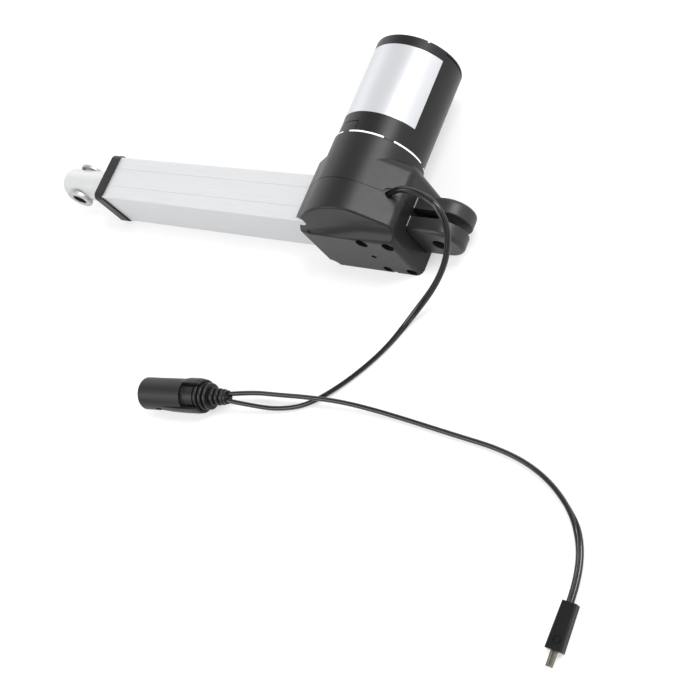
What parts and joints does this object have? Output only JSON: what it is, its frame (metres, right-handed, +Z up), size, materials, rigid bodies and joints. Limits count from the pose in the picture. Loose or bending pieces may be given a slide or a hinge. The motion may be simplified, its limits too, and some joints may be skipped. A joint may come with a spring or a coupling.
{
  "type": "electric linear actuator",
  "caption": "Electric linear actuator: worm-driven spindle pushes a rod out of a square tube, with a forked rear mount, a bushed rod eye and a corded inline socket and flat plug.",
  "frame": {"origin": "centre of the rear fork's cross hole, on the spindle axis", "axes": "+X along the spindle towards the rod eye, +Y along both cross holes, +Z up; the motor lies towards -Y"},
  "size_m": [0.4869, 0.3286, 0.0666],
  "materials": {
    "housing_black": "satin moulded",
    "cover_black": "satin moulded",
    "joint_white": "smooth",
    "label_plain": "satin film, blank",
    "clevis_black": "satin moulded",
    "cap_black": "satin moulded",
    "tube_aluminium": "satin anodised",
    "rod_aluminium": "satin anodised",
    "bush_metal": "satin nickel",
    "screw_steel": "zinc plated",
    "dark_steel": "ground",
    "alloy": "die cast",
    "can_steel": "zinc plated",
    "magnet_grey": "sintered",
    "bronze": "sintered",
    "copper": "enamelled wire",
    "nylon": "moulded",
    "carbon": "pressed carbon",
    "board_green": "circuit board",
    "cord_black": "satin jacket",
    "connector_black": "satin moulded",
    "contact_metal": "plated",
    "pin_metal": "nickel plated"
  },
  "bodies": {
    "housing": {"gear_housing_front": "housing_black", "gear_housing_motor_side": "housing_black", "housing_screws": "screw_steel", "worm_end_bush": "bronze", "motor_cover": "cover_black", "motor_end_cap": "cover_black", "motor_joint_ring": "joint_white", "motor_flange_plate": "alloy", "motor_screws": "screw_steel", "motor_can": "can_steel", "motor_magnets": "magnet_grey", "motor_front_bearing": "bronze", "motor_rear_bearing": "bronze", "motor_brush_card": "nylon", "motor_brushes": "carbon", "motor_label": "label_plain", "spindle_bearing": "dark_steel", "bearing_retainer": "screw_steel", "spindle_rear_bush": "bronze", "outer_tube": "tube_aluminium", "tube_end_cap": "cap_black", "rod_guide": "nylon", "rod_wiper": "connector_black", "limit_switch_board": "board_green", "limit_switches": "connector_black", "rear_clevis": "clevis_black", "clevis_seal": "joint_white", "clevis_cross_pin": "screw_steel", "cord_grommet": "cord_black", "lead_to_socket": "cord_black", "lead_to_plug": "cord_black", "socket_sleeve": "connector_black", "socket_insert": "connector_black", "socket_contacts": "contact_metal", "socket_strain_relief": "cord_black", "plug_body": "connector_black", "plug_pins": "pin_metal"},
    "rotor": {"motor_shaft_with_worm": "dark_steel", "armature_core": "dark_steel", "armature_windings": "copper", "commutator": "copper"},
    "spindle": {"spindle": "dark_steel", "worm_wheel": "nylon", "wheel_drive_pin": "screw_steel", "spindle_thrust_washer": "bronze", "spindle_end_stop": "screw_steel", "spindle_end_screw": "screw_steel"},
    "rod": {"rod_tube": "rod_aluminium", "rod_end": "rod_aluminium", "rod_eye_bushes": "bush_metal", "spindle_nut": "nylon"}
  },
  "joints": [
    {"name": "motor_spin", "type": "hinge", "parent": "housing", "child": "rotor", "pos_m": [0.0552, 0, 0.0175], "axis": [0, -1, 0], "range_deg": [0, 229500]},
    {"name": "spindle_spin", "type": "hinge", "parent": "housing", "child": "spindle", "pos_m": [0, 0, 0], "axis": [-1, 0, 0], "range_deg": [0, 9180.01]},
    {"name": "rod_slide", "type": "slide", "parent": "housing", "child": "rod", "axis": [1, 0, 0], "range_m": [0, 0.153]}
  ],
  "couplings": [
    {"joint": "spindle_spin", "follows": "motor_spin", "ratio": 0.04},
    {"joint": "rod_slide", "follows": "motor_spin", "m_per_rad": 0.000038197}
  ]
}
